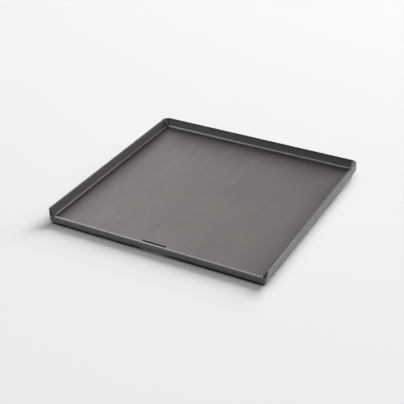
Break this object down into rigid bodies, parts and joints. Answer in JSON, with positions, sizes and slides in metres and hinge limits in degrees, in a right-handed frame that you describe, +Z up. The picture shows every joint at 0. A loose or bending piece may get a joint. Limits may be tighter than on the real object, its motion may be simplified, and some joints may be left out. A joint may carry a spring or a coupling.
{
  "type": "camp griddle plate",
  "caption": "Square sheet-steel griddle plate with a low tapering wall on three sides, capped at the open front, where the plate's edge is bent down into an apron with a drain slot behind the bend.",
  "frame": {"origin": "on the table under the middle of the plate", "axes": "+X to the right along the open front, +Y from the open front to the back wall, +Z up"},
  "size_m": [0.45, 0.442, 0.031],
  "materials": {
    "seasoned_steel": "satin dark grey steel, heat-treated",
    "under_steel": "matte dark grey",
    "weld_metal": "dull, as welded"
  },
  "bodies": {
    "root": {"cook_plate": "seasoned_steel", "left_wall": "seasoned_steel", "right_wall": "seasoned_steel", "back_wall": "seasoned_steel", "back_left_corner": "seasoned_steel", "back_right_corner": "seasoned_steel", "left_end_cap": "seasoned_steel", "right_end_cap": "seasoned_steel", "left_seam": "seasoned_steel", "right_seam": "seasoned_steel", "back_seam": "seasoned_steel", "back_left_seam": "seasoned_steel", "back_right_seam": "seasoned_steel", "left_rib": "under_steel", "centre_rib": "under_steel", "right_rib": "under_steel", "left_rib_welds": "weld_metal", "centre_rib_welds": "weld_metal", "right_rib_welds": "weld_metal"}
  },
  "joints": []
}
